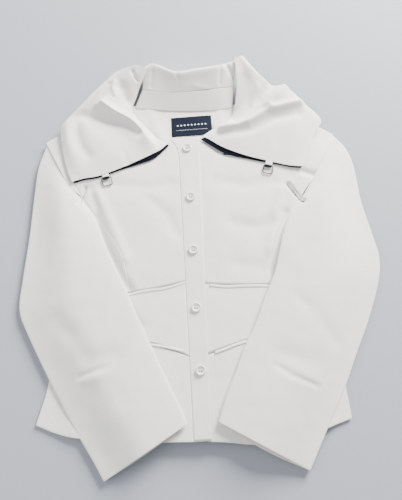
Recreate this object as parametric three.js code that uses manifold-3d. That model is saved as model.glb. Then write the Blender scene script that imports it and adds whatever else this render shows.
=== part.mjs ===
// Women's fitted short jacket, lying on its back: wide turned-down collar with two hanging
// wire loops, buttoned front, waist and lower seams with welts, sleeves folded over the front.
// Millimetres. X runs across the garment, +Y to the collar, +Z up from the floor.
// The origin is on the floor under the line of the buttons, 24 mm towards the collar from
// the middle button.
import * as THREE from 'three';
import { mergeVertices } from 'three/addons/utils/BufferGeometryUtils.js';
import Module from 'manifold-3d';

// Cloth and the spaces between layers
const CLOTH = 1.6;
const GAP = 0.3;
const TORSO_HOLLOW = 11;
const SLEEVE_HOLLOW = 6;
const SIDE_WALL = 3;
const WELT_WIDTH = 4;
const WELT_HEIGHT = 0.8;

// Lengths along the body, measured from the origin
const NECK_BACK = 231;
const NECK_FRONT = 166;
const UNDERARM = 45;
const WAIST = -84;
const LOWER_SEAM = -166;
const HEM = -297;

// Half widths of the body
const WAIST_HALF = 196;
const CHEST_HALF = 212;
const HIP_HALF = 214;
const NECK_HALF = 76;

// Front closure
const PLACKET_HALF = 16;
const FACING_WIDTH = 52;
const BUTTONS = 5;
const BUTTON_SPACING = 90;
const BUTTON_TOP = 156;
const BUTTON_DIAMETER = 15;
const BUTTON_HEIGHT = 2.8;
const BUTTON_HOLE = 1.9;
const BUTTON_HOLE_SPREAD = 1.7;
const THREAD = 1.1;

// Collar
const COLLAR_CLOTH = 1.6;
const ROLL_HEIGHT = 30;
const WING_TILT = 4.5 * Math.PI / 180;
const FALL_DROP = 15.5;
const FALL_REACH = 34;
const STAND_TOP = [268, 24];
const COLLAR_CREST = [302, 38];
const COLLAR_OUTSIDE = 320;
const COLLAR_HALF = 110;

// Sleeves
const ELBOW = -70;
const ELBOW_SWING = 14;
const CUFF_OUT = -338;
const CUFF_IN = -273;
const SLEEVE_WALL = 2.5;
const SLEEVE_EDGE = 6.5;

// Label
const LABEL = [70, 34, 0.8];
const SIZE_TAG = [11, 9, 0.8];

// Hanging loops
const RING_WIDTH = 16.5;
const RING_LENGTH = 14;
const RING_WIRE = 1.6;
const RING_BEND = 2;
const CRIMP_LENGTH = 11.5;
const CRIMP_DIAMETER = 4.2;
const TAB = [11, 8, 2.2];
const RING_TILT = 6 * Math.PI / 180;

// Heights of the layers
const BACK_TOP = CLOTH;
const FRONT_TOP = BACK_TOP + TORSO_HOLLOW + CLOTH;
const FRONT_UNDER = FRONT_TOP - CLOTH;
const WELT_TOP = FRONT_TOP + GAP + WELT_HEIGHT;
const SLEEVE_UNDER = WELT_TOP + GAP;
const SLEEVE_TOP = SLEEVE_UNDER + SLEEVE_HOLLOW + 2 * CLOTH;

// The two sides differ a little, as the garment lies. u is the distance out from the
// button line; a point is [u, y].
const SIDES = {
  left: {
    sign: -1,
    shoulder: [234, 176],
    hem: [232, -264],
    hemMiddle: [120, -288],
    placket: 16,
    armhole: [[236, 174], [178, 76]],
    sleeveOut: [[246, 141], [251, 97], [256, 20], [264, -70], [262, -112], [216, -202], [170, -283]],
    cuff: [[137, CUFF_OUT], [22, CUFF_IN]],
    sleeveIn: [[29, -246], [55, -197], [69, -164], [103, -82], [139, 11], [165, 76]],
    wing: [[180, 240], [205, 212], [209, 196], [205, 163], [196, 127], [187, 101],
      [168, 105], [144, 108], [127, 114], [91, 128], [59, 140]],
    lift: [[162, 76], [134, 11]],
    loop: [[-134, 106.5], 12],
  },
  right: {
    sign: 1,
    shoulder: [243, 170],
    hem: [206, -282],
    hemMiddle: [110, -301],
    placket: 11,
    armhole: [[247, 168], [188, 64]],
    sleeveOut: [[263, 160], [273, 110], [278, 38], [286, -44], [282, -80], [253, -146],
      [201, -241], [169, -292]],
    cuff: [[138, CUFF_OUT - 4], [20, CUFF_IN]],
    sleeveIn: [[46, -216], [68, -171], [78, -150], [118, -73], [143, 0], [174, 62]],
    wing: [[182, 256], [203, 231], [229, 196], [226, 184], [218, 172], [200, 132], [184, 103],
      [161, 107], [141, 113], [124, 119], [71, 139]],
    lift: [[168, 62], [140.1, 0]],
    loop: [[131, 112], -14],
  },
};
const ROLL_LINE = [[157, 256], [33, 153]];

// Materials
const cloth = () => new THREE.MeshStandardMaterial({ color: 0xe8e4dc, roughness: 0.8, metalness: 0 });
const plastic = () => new THREE.MeshStandardMaterial({ color: 0xf2f0ea, roughness: 0.3, metalness: 0 });
const cotton = () => new THREE.MeshStandardMaterial({ color: 0xdeddd8, roughness: 0.9, metalness: 0 });
const navy = () => new THREE.MeshStandardMaterial({ color: 0x1c283c, roughness: 0.7, metalness: 0 });
const nickel = () => new THREE.MeshStandardMaterial({ color: 0x8b918f, roughness: 0.35, metalness: 1 });

// Solids
const wasm = await Module();
wasm.setup();

function solid(geometry) {
  const bare = geometry.index ? geometry.toNonIndexed() : geometry.clone();
  bare.deleteAttribute('normal');
  bare.deleteAttribute('uv');
  const merged = mergeVertices(bare, 1e-4);
  return new wasm.Manifold(new wasm.Mesh({
    numProp: 3,
    vertProperties: merged.attributes.position.array,
    triVerts: new Uint32Array(merged.index.array),
  }));
}

function surface(body) {
  const mesh = body.getMesh();
  const geometry = new THREE.BufferGeometry();
  geometry.setAttribute('position', new THREE.BufferAttribute(mesh.vertProperties, 3));
  geometry.setIndex(new THREE.BufferAttribute(mesh.triVerts, 1));
  return geometry;
}

const outline = (points) => new THREE.Shape(points.map(([x, y]) => new THREE.Vector2(x, y)));

// A flat piece with the given outline between two heights.
function slab(points, low, high) {
  const geometry = new THREE.ExtrudeGeometry(outline(points), { depth: high - low, bevelEnabled: false });
  return solid(geometry.translate(0, 0, low));
}

// The same with its edges rounded off by the given radius.
function pillow(points, low, high, edge) {
  const geometry = new THREE.ExtrudeGeometry(outline(points), {
    depth: high - low - 2 * edge,
    bevelThickness: edge,
    bevelSize: edge,
    bevelOffset: -edge,
    bevelSegments: 3,
  });
  return solid(geometry.translate(0, 0, low + edge));
}

// A section drawn in Y and Z, carried along X between two places.
function beam(section, from, to) {
  const geometry = new THREE.ExtrudeGeometry(outline(section), { depth: to - from, bevelEnabled: false });
  geometry.applyMatrix4(new THREE.Matrix4().set(0, 0, 1, from, 1, 0, 0, 0, 0, 1, 0, 0, 0, 0, 0, 1));
  return solid(geometry);
}

const smooth = (points, steps) => new THREE.SplineCurve(points.map(([x, y]) => new THREE.Vector2(x, y)))
  .getPoints(steps).map((p) => [p.x, p.y]);
const place = (points, sign) => points.map(([u, y]) => [sign * u, y]);
const shift = (points, dx, dy) => points.map(([x, y]) => [x + dx, y + dy]);

// Group and joint-ready nodes
const jacket = new THREE.Group();

function add(name, body, material) {
  const mesh = new THREE.Mesh(surface(body), material);
  mesh.name = name;
  jacket.add(mesh);
  return mesh;
}

// Outline of one side in [u, y] from the neck round the shoulder and down the side to the
// hem's corner, pushed outwards by a margin.
function flankLine(side, margin) {
  const [shoulderOut, shoulderTop] = side.shoulder;
  const [hemOut, hemTop] = side.hem;
  const armhole = smooth([
    [shoulderOut + margin, shoulderTop + margin],
    [shoulderOut - 14 + margin, shoulderTop - 54],
    [CHEST_HALF - 6 + margin, UNDERARM + 32],
    [CHEST_HALF + margin, UNDERARM],
  ], 6);
  const flank = smooth([
    [CHEST_HALF + margin, UNDERARM],
    [WAIST_HALF + margin, WAIST],
    [HIP_HALF + margin, (WAIST + hemTop) / 2 - 30],
    [hemOut + margin, hemTop - margin],
  ], 8);
  return [[NECK_HALF, NECK_BACK + 18 + margin], ...armhole, ...flank.slice(1)];
}

// The same with the hem, to the middle of the body
function bodySide(side, margin) {
  const line = flankLine(side, margin);
  const [middleOut, middleTop] = side.hemMiddle;
  const hem = smooth([line[line.length - 1], [middleOut, middleTop - margin], [0, HEM - margin]], 4);
  return [...line, ...hem.slice(1)];
}

// Whole body outline, or one half of it up to the button line.
const bodyOutline = (margin) => [
  [0, NECK_BACK + margin],
  ...place(bodySide(SIDES.left, margin), -1),
  ...place(bodySide(SIDES.right, margin).reverse(), 1).slice(1),
];

// Seams that divide both layers, as lines in [u, y] from the button line to past the side
const FAR = 400;
const SEAM_HALF = GAP / 2;
const waistSeam = smooth([[0, WAIST + 10], [45, WAIST + 3], [106, WAIST - 2], [FAR, WAIST - 4]], 10);
const lowerSeam = (side) => (side.sign < 0
  ? [[0, -185], [24, -174], [66, -163], [FAR, -150]]
  : [[0, -186], [24, -178], [68, LOWER_SEAM - 2], [FAR, -150]]);
const princessSeam = smooth([[196, FAR], [192, 112], [150, 40], [112, -20], [98, WAIST], [98, -FAR]], 12);

const above = (line, gap) => [...shift(line, 0, gap), [FAR, FAR], [0, FAR]];
const below = (line, gap) => [...shift(line, 0, -gap), [FAR, -FAR], [0, -FAR]];
const inside = (line, gap) => [...shift(line, -gap, 0), [-FAR, -FAR], [-FAR, FAR]];
const outside = (line, gap) => [...shift(line, gap, 0), [FAR, -FAR], [FAR, FAR]];

// Everything on one side of a seam, through all heights.
function region(points, sign) {
  return slab(place(points, sign), -FAR / 2, FAR / 2);
}

// Back of the body: bodice, waist band and peplum, one layer on the floor
function addBack() {
  const sheet = slab(bodyOutline(0), 0, BACK_TOP);
  const across = (line) => [...place(line, -1).reverse(), ...line.slice(1)];
  const waist = across(waistSeam);
  const lower = across(lowerSeam(SIDES.right));
  const over = (line, gap) => slab([...shift(line, 0, gap), [FAR, FAR], [-FAR, FAR]], -1, CLOTH + 1);
  const under = (line, gap) => slab([...shift(line, 0, -gap), [FAR, -FAR], [-FAR, -FAR]], -1, CLOTH + 1);
  add('back_bodice', sheet.intersect(over(waist, SEAM_HALF)), cloth());
  add('back_midriff', sheet.intersect(under(waist, SEAM_HALF)).intersect(over(lower, SEAM_HALF)), cloth());
  add('back_peplum', sheet.intersect(under(lower, SEAM_HALF)), cloth());
}

// The roll line's frame on one side: s runs down to the front, n points in to the neck.
const [ROLL_START, ROLL_END] = ROLL_LINE;
const ROLL_LENGTH = Math.hypot(ROLL_END[0] - ROLL_START[0], ROLL_END[1] - ROLL_START[1]);
const ROLL_DIRECTION = [
  (ROLL_END[0] - ROLL_START[0]) / ROLL_LENGTH,
  (ROLL_END[1] - ROLL_START[1]) / ROLL_LENGTH,
];
const rollPoint = (s, n) => [
  ROLL_START[0] + s * ROLL_DIRECTION[0] + n * ROLL_DIRECTION[1],
  ROLL_START[1] + s * ROLL_DIRECTION[1] - n * ROLL_DIRECTION[0],
];
const NECK_EDGE = FALL_REACH - 3;

// Opening of the front layer at the neck
function neckHole() {
  const half = [rollPoint(ROLL_LENGTH - 3, NECK_EDGE), rollPoint(40, NECK_EDGE), [NECK_HALF, FAR]];
  return slab([[0, NECK_FRONT], ...half, ...place(half, -1).reverse()], -1, FRONT_TOP + 1);
}

// One half of the front: a layer over the torso's hollow with a wall down to the back along
// the shoulder and the side.
function frontHalf(side, from) {
  const half = [[from, FAR / 2], [FAR, FAR / 2], [FAR, -FAR], [from, -FAR]];
  const body = slab(bodyOutline(0), BACK_TOP + GAP, FRONT_TOP);
  const [hemOut] = side.hem;
  const open = [[0, FAR], [NECK_HALF - SIDE_WALL, FAR], ...flankLine(side, -SIDE_WALL),
    [hemOut - SIDE_WALL, -FAR], [0, -FAR]];
  const hollow = slab(place(open, side.sign), 0, FRONT_UNDER);
  return body.intersect(region(half, side.sign)).subtract(hollow).subtract(neckHole());
}

// Front panels of one side
function addFront(name, side) {
  const half = frontHalf(side, side.placket + GAP);
  const bodice = half.intersect(region(above(waistSeam, SEAM_HALF), side.sign));
  add(`front_${name}`, bodice.intersect(region(inside(princessSeam, SEAM_HALF), side.sign)), cloth());
  add(`side_front_${name}`, bodice.intersect(region(outside(princessSeam, SEAM_HALF), side.sign)), cloth());
  const skirt = half.intersect(region(below(waistSeam, SEAM_HALF), side.sign));
  add(`midriff_${name}`, skirt.intersect(region(above(lowerSeam(side), SEAM_HALF), side.sign)), cloth());
  add(`peplum_${name}`, skirt.intersect(region(below(lowerSeam(side), SEAM_HALF), side.sign)), cloth());
}

// Raised welt along a seam, cut off where the sleeve lies over it.
function addWelt(name, line, from, to, side) {
  const strip = [...shift(line, 0, WELT_WIDTH), ...shift(line, 0, GAP).reverse()];
  const window = slab(place([[from, FAR], [to, FAR], [to, -FAR], [from, -FAR]], side.sign), 0, FAR / 2);
  add(name, slab(place(strip, side.sign), FRONT_TOP + GAP, WELT_TOP).intersect(window), cloth());
}

// Button band on top, button stand below it and the facing behind each front edge
function addClosure() {
  const left = -SIDES.left.placket;
  const right = SIDES.right.placket;
  const body = (low, high) => slab(bodyOutline(0), low, high).subtract(neckHole());
  const column = (from, to) => slab([[from, FAR], [to, FAR], [to, -FAR], [from, -FAR]], -1, FAR / 2);
  let band = body(FRONT_UNDER, FRONT_TOP).intersect(column(left, right));
  for (const y of buttonPlaces()) {
    const hole = new THREE.CylinderGeometry(HOLE_RADIUS, HOLE_RADIUS, 3 * CLOTH, 16);
    band = band.subtract(solid(hole.rotateX(Math.PI / 2).translate(0, y, FRONT_TOP)));
  }
  add('button_band', band, cloth());
  const standTop = FRONT_UNDER - GAP;
  const stand = body(standTop - CLOTH, standTop).intersect(column(left - 3, right + PLACKET_HALF));
  add('button_stand', stand, cloth());
  const leftFacing = column(left - 3 - GAP - FACING_WIDTH, left - 3 - GAP);
  const rightFacing = column(right + PLACKET_HALF + GAP, right + PLACKET_HALF + GAP + FACING_WIDTH);
  add('facing_left', body(standTop - CLOTH, standTop).intersect(leftFacing), cloth());
  add('facing_right', body(standTop - CLOTH, standTop).intersect(rightFacing), cloth());
}

// Buttons with a raised rim and two holes, each held by a loop of thread through the band
const HOLE_RADIUS = BUTTON_HOLE_SPREAD + BUTTON_HOLE;
const buttonPlaces = () => Array.from({ length: BUTTONS }, (_, i) => BUTTON_TOP - i * BUTTON_SPACING);

function buttonSolid() {
  const r = BUTTON_DIAMETER / 2;
  const rim = 1.4;
  const profile = [[0, 0.5], [r - 2.5, 0], [r - 0.6, 0.9], [r, 1.8], [r - 0.4, BUTTON_HEIGHT],
    [r - rim, BUTTON_HEIGHT], [r - rim - 0.9, 2], [0, 1.8]];
  const section = profile.map(([x, y]) => new THREE.Vector2(x, y));
  const disc = new THREE.LatheGeometry(section, 24).rotateX(Math.PI / 2);
  let button = solid(disc);
  for (const end of [-1, 1]) {
    const hole = new THREE.CylinderGeometry(BUTTON_HOLE / 2, BUTTON_HOLE / 2, 4 * BUTTON_HEIGHT, 10);
    button = button.subtract(solid(hole.rotateX(Math.PI / 2).translate(0, end * BUTTON_HOLE_SPREAD, 0)));
  }
  return button;
}

// Top bar, two legs and the shank below the button
function threadSolid(standTop) {
  const top = FRONT_TOP + GAP + 1.8 + GAP;
  const span = 2 * BUTTON_HOLE_SPREAD + THREAD;
  const box = (y, low, high, length) => solid(
    new THREE.BoxGeometry(THREAD, length, high - low).translate(0, y, (low + high) / 2));
  const bar = box(0, top, top + THREAD, span);
  const shank = box(0, standTop + GAP, FRONT_TOP - GAP, span);
  const leg = (end) => box(end * BUTTON_HOLE_SPREAD, FRONT_TOP - 2 * GAP, top + THREAD / 2, THREAD);
  return bar.add(shank).add(leg(-1)).add(leg(1));
}

function addButtons() {
  const button = buttonSolid();
  const thread = threadSolid(FRONT_UNDER - GAP);
  buttonPlaces().forEach((y, i) => {
    add(`button_${i + 1}`, button, plastic()).position.set(0, y, FRONT_TOP + GAP);
    add(`button_thread_${i + 1}`, thread, cotton()).position.set(0, y, 0);
  });
}

// A flat piece laid along the roll line: sloped about it, its top at the given height.
function sloped(points, thickness, slope, height, side) {
  const [x, y] = [side.sign * ROLL_START[0], ROLL_START[1]];
  const flat = outline(place(points, side.sign));
  const geometry = new THREE.ExtrudeGeometry(flat, { depth: thickness, bevelEnabled: false });
  const axis = new THREE.Vector3(side.sign * ROLL_DIRECTION[0], ROLL_DIRECTION[1], 0);
  const tilt = new THREE.Matrix4().makeRotationAxis(axis, -slope * side.sign);
  geometry.translate(-x, -y, -thickness).applyMatrix4(tilt);
  return solid(geometry.translate(x, y, height));
}

// Collar of one side: the part that falls to the neck and the two-layered wing
function addCollarSide(name, side) {
  const slope = Math.atan2(FALL_DROP, FALL_REACH);
  const start = COLLAR_CLOTH * Math.sin(slope) + 2 * GAP;
  const fall = [rollPoint(0, start), [COLLAR_HALF + GAP, 291], [COLLAR_HALF + GAP, STAND_TOP[0]],
    rollPoint(44, FALL_REACH), rollPoint(ROLL_LENGTH - 6, FALL_REACH), rollPoint(ROLL_LENGTH, start)];
  add(`collar_fall_${name}`, sloped(fall, COLLAR_CLOTH, -slope, ROLL_HEIGHT, side), cloth());
  const wing = [rollPoint(0, -SEAM_HALF), ...side.wing, rollPoint(ROLL_LENGTH, -SEAM_HALF)];
  const layer = (drop) => sloped(wing, COLLAR_CLOTH, WING_TILT, ROLL_HEIGHT - drop, side);
  add(`wing_upper_${name}`, layer(0), cloth());
  add(`wing_under_${name}`, layer(COLLAR_CLOTH + GAP), navy());
}

// Collar behind the neck: the stand rises from the neck seam and the collar rolls over its top
function addCollarBack() {
  const [standY, standZ] = STAND_TOP;
  const [crestY, crestZ] = COLLAR_CREST;
  const foot = BACK_TOP + GAP;
  const stand = [[NECK_BACK - 4, foot + CLOTH + GAP], [standY, standZ], [standY - 1.4, standZ + 2.4],
    [NECK_BACK - 6, foot + CLOTH + 4]];
  add('collar_stand', beam(stand, -NECK_HALF, NECK_HALF + 8), cloth());
  const roll = smooth([[standY + 0.6, standZ + 0.6], [(standY + crestY) / 2, crestZ - 5], [crestY, crestZ],
    [COLLAR_OUTSIDE - 4, crestZ - 9], [COLLAR_OUTSIDE, crestZ - 20], [COLLAR_OUTSIDE, 2]], 14);
  const lining = smooth([[COLLAR_OUTSIDE - 2.6, 2], [COLLAR_OUTSIDE - 2.6, crestZ - 20],
    [COLLAR_OUTSIDE - 6.4, crestZ - 10.6], [crestY, crestZ - 2.8], [(standY + crestY) / 2 + 1, crestZ - 7.8],
    [standY + 2, standZ - 1.8]], 14);
  add('collar_back', beam([...roll, ...lining], -COLLAR_HALF, COLLAR_HALF), cloth());
}

// Inside of the back neck with the label and the size tag sewn on it
function addNeck() {
  const low = BACK_TOP + GAP;
  const yoke = [[-NECK_HALF + 6, NECK_BACK - 48], [0, NECK_BACK - 56], [NECK_HALF - 6, NECK_BACK - 48],
    [NECK_HALF, NECK_BACK + 6], [0, NECK_BACK - 2], [-NECK_HALF, NECK_BACK + 6]];
  add('back_neck_facing', slab(yoke, low, low + CLOTH), cloth());
  const face = low + CLOTH + GAP;
  const patch = ([width, length, height], x, y) => solid(
    new THREE.BoxGeometry(width, length, height).translate(x, y, face + height / 2));
  add('neck_label', patch(LABEL, 10, NECK_BACK - 26), navy());
  add('size_tag', patch(SIZE_TAG, 10 + LABEL[0] / 2 + SIZE_TAG[0] / 2 + 1, NECK_BACK - 29), cotton());
}

// Shoulder pads inside the torso's hollow, just under the front layer
function addPad(name, side) {
  const [out, top] = side.shoulder;
  const pad = smooth([[out - 20, top - 10], [out - 36, top - 62], [out - 76, top - 58], [out - 92, top - 22],
    [out - 70, top + 4], [out - 20, top - 10]], 18);
  add(`shoulder_pad_${name}`, pillow(place(pad.slice(0, -1), side.sign), 3, FRONT_UNDER - GAP, 2), cotton());
}

// Sleeve of one side: a flattened tube over the body that drops to the floor outside it,
// parted at the elbow.
function addSleeve(name, side) {
  const [[topU, topY], [lowU, lowY]] = side.armhole;
  const [cuffOut, cuffIn] = side.cuff;
  const out = smooth([[topU, topY], ...side.sleeveOut, cuffOut], 18);
  const inner = smooth([cuffIn, ...side.sleeveIn, [lowU, lowY]], 14);
  const whole = place([...out, ...inner], side.sign);
  const shell = pillow(whole, GAP, SLEEVE_TOP, SLEEVE_EDGE);
  const room = hollowSleeve(side, out, inner);
  const tube = (clear) => shell
    .subtract(slab(bodyOutline(clear), -1, SLEEVE_UNDER))
    .subtract(room.subtract(slab(bodyOutline(clear + CLOTH + GAP), -1, SLEEVE_UNDER + CLOTH)));
  const [upper, lower] = elbowHalves(side);
  add(`sleeve_upper_${name}`, tube(2 * GAP).intersect(upper), cloth());
  add(`sleeve_lower_${name}`, tube(ELBOW_SWING).intersect(lower), cloth());
}

// Space inside a sleeve, running out through the cuff
function hollowSleeve(side, out, inner) {
  const [cuffOut, cuffIn] = side.cuff;
  const length = Math.hypot(cuffOut[0] - cuffIn[0], cuffOut[1] - cuffIn[1]);
  const away = [(cuffOut[1] - cuffIn[1]) / length * 20, -(cuffOut[0] - cuffIn[0]) / length * 20];
  const along = [(cuffOut[0] - cuffIn[0]) / length, (cuffOut[1] - cuffIn[1]) / length];
  const wall = SLEEVE_WALL + SLEEVE_EDGE / 2;
  const mouthOut = [cuffOut[0] - wall * along[0] + away[0], cuffOut[1] - wall * along[1] + away[1]];
  const mouthIn = [cuffIn[0] + wall * along[0] + away[0], cuffIn[1] + wall * along[1] + away[1]];
  const insetOut = out.slice(2, -1).map(([u, y]) => [u - wall, y]);
  const insetIn = inner.slice(1, -2).map(([u, y]) => [u + wall, y]);
  const room = place([...insetOut, mouthOut, mouthIn, ...insetIn], side.sign);
  return slab(room, GAP + CLOTH, SLEEVE_TOP - CLOTH);
}

// The line across the sleeve where it folds, and everything on each side of it
function elbowHalves(side) {
  const [a, b] = elbowLine(side);
  const length = Math.hypot(b[0] - a[0], b[1] - a[1]);
  const [du, dy] = [(b[0] - a[0]) / length, (b[1] - a[1]) / length];
  const half = (turn) => {
    const near = ([u, y]) => [u - turn * dy * SEAM_HALF, y + turn * du * SEAM_HALF];
    const far = ([u, y]) => [u - turn * dy * FAR, y + turn * du * FAR];
    const from = [a[0] - du * FAR / 2, a[1] - dy * FAR / 2];
    const to = [b[0] + du * FAR / 2, b[1] + dy * FAR / 2];
    return region([near(from), near(to), far(to), far(from)], side.sign);
  };
  return [half(1), half(-1)];
}

// The elbow's line runs out from the inner edge, square to the line the sleeve lifts about.
function elbowLine(side) {
  const [[topU, topY], [lowU, lowY]] = side.lift;
  const start = [side.sleeveIn[3][0], ELBOW];
  return [start, [start[0] + topY - lowY, start[1] - (topU - lowU)]];
}

// Height of the wing's lower face at a place out from the roll line
function wingUnderside(u, y) {
  const out = (u - ROLL_START[0]) * ROLL_DIRECTION[1] - (y - ROLL_START[1]) * ROLL_DIRECTION[0];
  return ROLL_HEIGHT + out * Math.tan(WING_TILT) - (2 * COLLAR_CLOTH + GAP) / Math.cos(WING_TILT);
}

// Fabric tab, metal crimp and hanging wire loop under a wing's lower edge
function addLoop(name, side) {
  const [[x, y], turn] = side.loop;
  const [tabWidth, tabLength, tabHeight] = TAB;
  const holder = new THREE.Group();
  holder.position.set(x, y, wingUnderside(Math.abs(x), y) - GAP - tabHeight / 2);
  holder.rotation.z = turn * Math.PI / 180;
  jacket.add(holder);
  const put = (label, body, material) => {
    const mesh = new THREE.Mesh(surface(body), material);
    mesh.name = `${label}_${name}`;
    holder.add(mesh);
    return mesh;
  };
  const tab = new THREE.BoxGeometry(tabWidth, tabLength, tabHeight);
  put('loop_tab', solid(tab.translate(0, CRIMP_DIAMETER / 2 + GAP + tabLength / 2, 0)), cloth());
  const tube = (radius, length) => new THREE.CylinderGeometry(radius, radius, length, 16)
    .rotateZ(Math.PI / 2);
  const bore = RING_WIRE / 2 + GAP;
  const crimp = solid(tube(CRIMP_DIAMETER / 2, CRIMP_LENGTH)).subtract(solid(tube(bore, 2 * CRIMP_LENGTH)));
  put('loop_crimp', crimp, nickel());
  put('loop_ring', ringSolid(), nickel()).rotation.x = RING_TILT;
}

// Rectangular wire loop with round corners, hanging in -Y from the X axis: one half bent
// from the middle of the top to the middle of the bottom, and the same turned round.
function ringSolid() {
  const half = (RING_WIDTH - RING_WIRE) / 2;
  const drop = RING_LENGTH - RING_WIRE / 2;
  const point = (x, y) => new THREE.Vector3(x, y, 0);
  const path = new THREE.CurvePath();
  path.add(new THREE.LineCurve3(point(-GAP, 0), point(half - RING_BEND, 0)));
  path.add(new THREE.QuadraticBezierCurve3(point(half - RING_BEND, 0), point(half, 0),
    point(half, -RING_BEND)));
  path.add(new THREE.LineCurve3(point(half, -RING_BEND), point(half, RING_BEND - drop)));
  path.add(new THREE.QuadraticBezierCurve3(point(half, RING_BEND - drop), point(half, -drop),
    point(half - RING_BEND, -drop)));
  path.add(new THREE.LineCurve3(point(half - RING_BEND, -drop), point(-GAP, -drop)));
  const bend = new THREE.CatmullRomCurve3(path.getSpacedPoints(28));
  const wire = new THREE.Shape().absarc(0, 0, RING_WIRE / 2, 0, 2 * Math.PI);
  const geometry = new THREE.ExtrudeGeometry(wire, { steps: 28, curveSegments: 4, extrudePath: bend });
  return solid(geometry).add(solid(geometry.clone().rotateY(Math.PI)));
}

addBack();
addClosure();
addButtons();
addCollarBack();
addNeck();
for (const [name, side] of Object.entries(SIDES)) {
  addFront(name, side);
  addWelt(`waist_welt_${name}`, waistSeam, side.placket + 1, 98, side);
  addWelt(`lower_welt_${name}`, lowerSeam(side), side.placket + 3, 64, side);
  addCollarSide(name, side);
  addPad(name, side);
  addSleeve(name, side);
  addLoop(name, side);
}

export default jacket;
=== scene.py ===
"""Builds the looks of a short fitted jacket laid flat, as a Blender add-on."""

import math

import bmesh
import bpy
import numpy as np
from mathutils import Matrix, Vector, noise


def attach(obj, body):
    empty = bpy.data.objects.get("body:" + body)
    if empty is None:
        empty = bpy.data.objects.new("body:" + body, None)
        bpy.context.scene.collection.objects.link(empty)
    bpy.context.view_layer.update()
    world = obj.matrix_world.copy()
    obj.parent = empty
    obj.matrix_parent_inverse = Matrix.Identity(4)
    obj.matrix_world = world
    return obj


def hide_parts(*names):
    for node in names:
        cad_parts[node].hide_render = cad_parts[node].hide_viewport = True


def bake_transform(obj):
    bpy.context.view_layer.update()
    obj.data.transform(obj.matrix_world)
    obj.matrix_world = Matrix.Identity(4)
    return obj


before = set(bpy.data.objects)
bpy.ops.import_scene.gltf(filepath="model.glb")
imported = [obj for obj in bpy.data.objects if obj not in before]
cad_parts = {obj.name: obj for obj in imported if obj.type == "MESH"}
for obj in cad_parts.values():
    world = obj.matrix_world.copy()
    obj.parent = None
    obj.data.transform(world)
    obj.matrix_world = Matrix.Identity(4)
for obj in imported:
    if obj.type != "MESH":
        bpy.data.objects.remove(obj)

bl_info = {
    "name": "Fitted Jacket",
    "version": (1, 0, 0),
    "blender": (4, 5, 0),
    "location": "View3D > Sidebar > Jacket",
    "description": "Builds a short fitted jacket with a wide collar, laid flat",
    "category": "Add Mesh",
}

MM = 0.001
LEFT, RIGHT = -1, 1
SIDE_NAMES = {LEFT: "left", RIGHT: "right"}
BUTTON_PLACES = [(0, 156), (1, 66), (0, -24), (-1, -114), (0, -204)]
BUTTON_SEAT = 15.4


# Curves and cloth surfaces, all in millimetres


def spline(points, t):
    """The point at t, from 0 to 1, on the smooth curve through evenly spaced points."""
    last = len(points) - 1
    place = min(max(t, 0.0), 1.0) * last
    i = min(int(place), last - 1)
    f = place - i
    b, c = points[i], points[i + 1]
    a = points[i - 1] if i > 0 else 2 * b - c
    d = points[i + 2] if i + 2 <= last else 2 * c - b
    cubic = 3 * b - a - 3 * c + d
    return 0.5 * (2 * b + (c - a) * f + (2 * a - 5 * b + 4 * c - d) * f * f + cubic * f**3)


def along_path(points, count):
    """Points spaced evenly by distance on the smooth curve through points."""
    knots = [np.array(p, float) for p in points]
    fine = [spline(knots, i / 200) for i in range(201)]
    steps = [float(np.linalg.norm(q - p)) for p, q in zip(fine, fine[1:])]
    reach = np.concatenate([[0.0], np.cumsum(steps)])
    wanted = np.linspace(0.0, reach[-1], count)
    columns = [np.interp(wanted, reach, [p[k] for p in fine]) for k in range(len(knots[0]))]
    return [np.array(p) for p in zip(*columns)]


def path_distance(x, y, path):
    """The distance from a point to a line of straight runs, seen from above."""
    best = 1e9
    for (ax, ay), (bx, by) in zip(path, path[1:]):
        dx, dy = bx - ax, by - ay
        t = ((x - ax) * dx + (y - ay) * dy) / (dx * dx + dy * dy)
        t = min(max(t, 0.0), 1.0)
        best = min(best, math.hypot(x - ax - t * dx, y - ay - t * dy))
    return best


def folds_height(x, y, folds):
    """The height that soft folds add: each is a path, a height and a width."""
    total = 0.0
    for path, height, width in folds:
        away = path_distance(x, y, path) / width
        if away < 3:
            total += height * math.exp(-away * away)
    return total


def rumple(x, y, size=38.0, height=0.5):
    """Gentle uneven height of pressed cotton lying free."""
    broad = noise.noise(Vector((x / size, y / size, 1.7)))
    fine = noise.noise(Vector((x / size * 2.7, y / size * 2.7, 5.2)))
    return height * (broad + 0.4 * fine)


def smooth_step(a, b, x):
    """A soft rise from 0 at a to 1 at b."""
    t = min(max((x - a) / (b - a), 0.0), 1.0)
    return t * t * (3 - 2 * t)


def lofted(rows, across, along, relief=None):
    """A grid of cloth on the smooth surface through rows of points."""
    bm = bmesh.new()
    bmesh.ops.create_grid(bm, x_segments=across, y_segments=along, size=1)
    rows = [[np.array(p, float) for p in row] for row in rows]
    columns = {}
    for vert in bm.verts:
        u, v = (vert.co.x + 1) / 2, (vert.co.y + 1) / 2
        key = round(u, 5)
        if key not in columns:
            columns[key] = [spline(row, u) for row in rows]
        x, y, z = spline(columns[key], v)
        lift = relief(x, y) if relief else 0.0
        vert.co = (x, y, z + lift)
    if sum(face.normal.z * face.calc_area() for face in refreshed(bm)) < 0:
        bmesh.ops.reverse_faces(bm, faces=bm.faces)
    return bm


def refreshed(bm):
    """The faces of bm with up-to-date normals."""
    bm.normal_update()
    return bm.faces


# Objects and modifiers


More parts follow.
